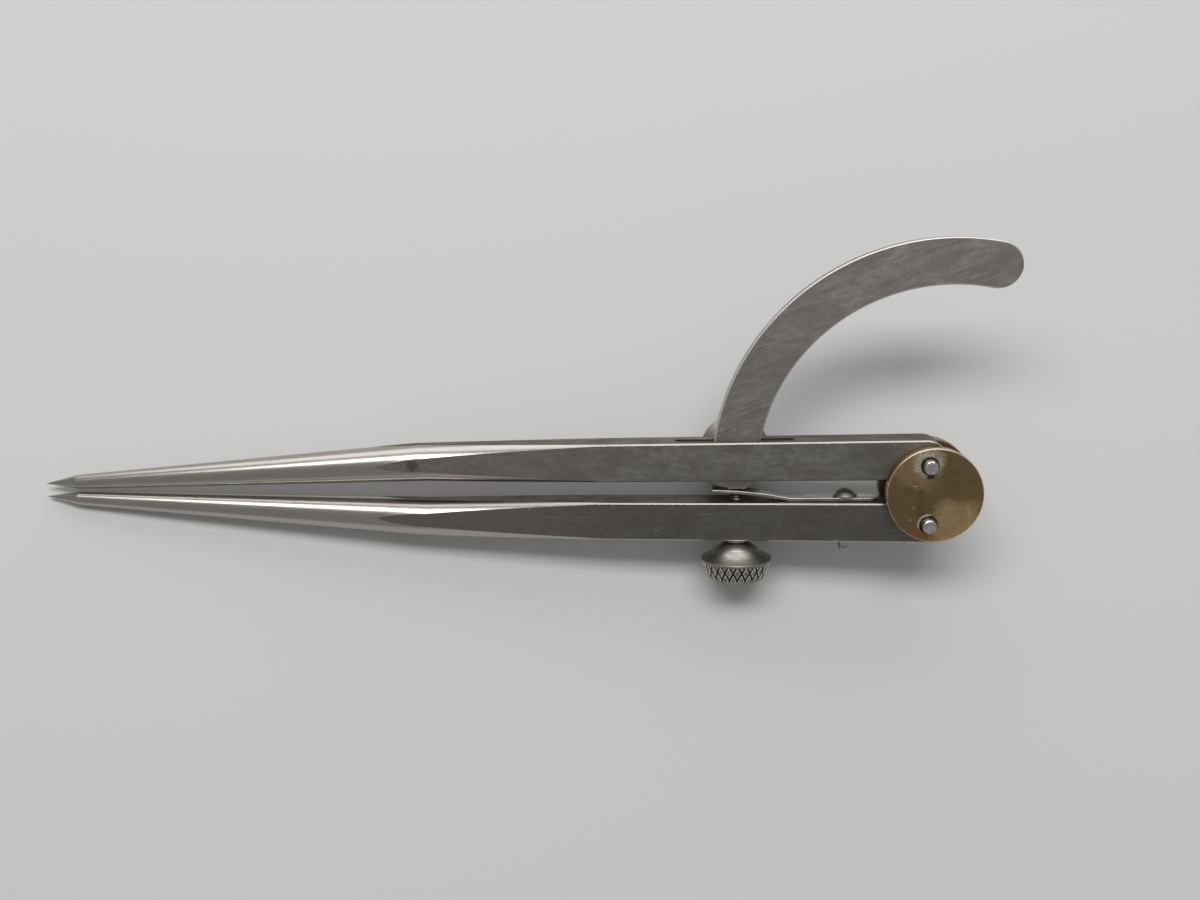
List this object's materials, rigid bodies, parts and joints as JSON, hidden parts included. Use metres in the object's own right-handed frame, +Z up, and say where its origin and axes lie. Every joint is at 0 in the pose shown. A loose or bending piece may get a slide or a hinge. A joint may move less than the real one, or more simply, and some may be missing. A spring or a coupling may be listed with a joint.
{
  "type": "wing divider",
  "caption": "Wing divider with pointed steel legs on a two-pin brass head, a curved wing with a clamp screw, and a spring-loaded nut for fine adjustment.",
  "frame": {"origin": "On the bench, under the middle of the closed tool's length and width. The tool lies as it rests: front up, tipped onto the lower point, the nut's rim and the edge of the clamp screw's knob.", "axes": "+X runs from the points to the head, +Y from the lower leg to the wing, and +Z up from the bench."},
  "size_m": [0.1574, 0.0516, 0.028],
  "materials": {
    "leg_steel": "filed flats and polished tapers, worn",
    "tarnished_brass": "turned and tarnished",
    "pin_steel": "bright, rounded ends",
    "wing_steel": "mottled and scratched",
    "knob_steel": "turned and knurled",
    "spring_steel": "bright strip"
  },
  "bodies": {
    "lower_leg": {"lower_leg": "leg_steel", "leaf_spring": "spring_steel", "spring_screw": "knob_steel"},
    "head": {"front_disc": "tarnished_brass", "back_disc": "tarnished_brass", "upper_pivot_pin": "pin_steel", "lower_pivot_pin": "pin_steel"},
    "upper_leg": {"upper_leg": "leg_steel"},
    "wing": {"wing": "wing_steel"},
    "adjusting_nut": {"adjusting_nut": "knob_steel"},
    "clamp_screw": {"clamp_screw": "knob_steel"}
  },
  "joints": [
    {"name": "upper_leg_open", "type": "hinge", "parent": "head", "child": "upper_leg", "pos_m": [0.06472, -0.00702, 0.01365], "axis": [0.0798, 0.364, -0.928], "range_deg": [0, 45]},
    {"name": "lower_leg_open", "type": "hinge", "parent": "lower_leg", "child": "head", "pos_m": [0.06472, -0.01573, 0.01024], "axis": [0.0798, 0.364, -0.928], "range_deg": [0, 45]},
    {"name": "nut_turn", "type": "hinge", "parent": "lower_leg", "child": "adjusting_nut", "pos_m": [0.03522, -0.01798, 0.00682], "axis": [0, -0.9309, -0.3652], "range_deg": [-360, 360]},
    {"name": "wing_feed", "type": "slide", "parent": "lower_leg", "child": "wing", "axis": [0, 0.9309, 0.3652], "range_m": [-0.0004536, 0.0004536], "deforming": ["leaf_spring"]},
    {"name": "clamp_turn", "type": "hinge", "parent": "upper_leg", "child": "clamp_screw", "pos_m": [0.03522, -0.00597, 0.01153], "axis": [0.0798, 0.364, -0.928], "range_deg": [0, 360]}
  ],
  "couplings": [
    {"joint": "lower_leg_open", "follows": "upper_leg_open", "ratio": 1},
    {"joint": "nut_turn", "follows": "wing_feed", "rad_per_m": 13852}
  ]
}
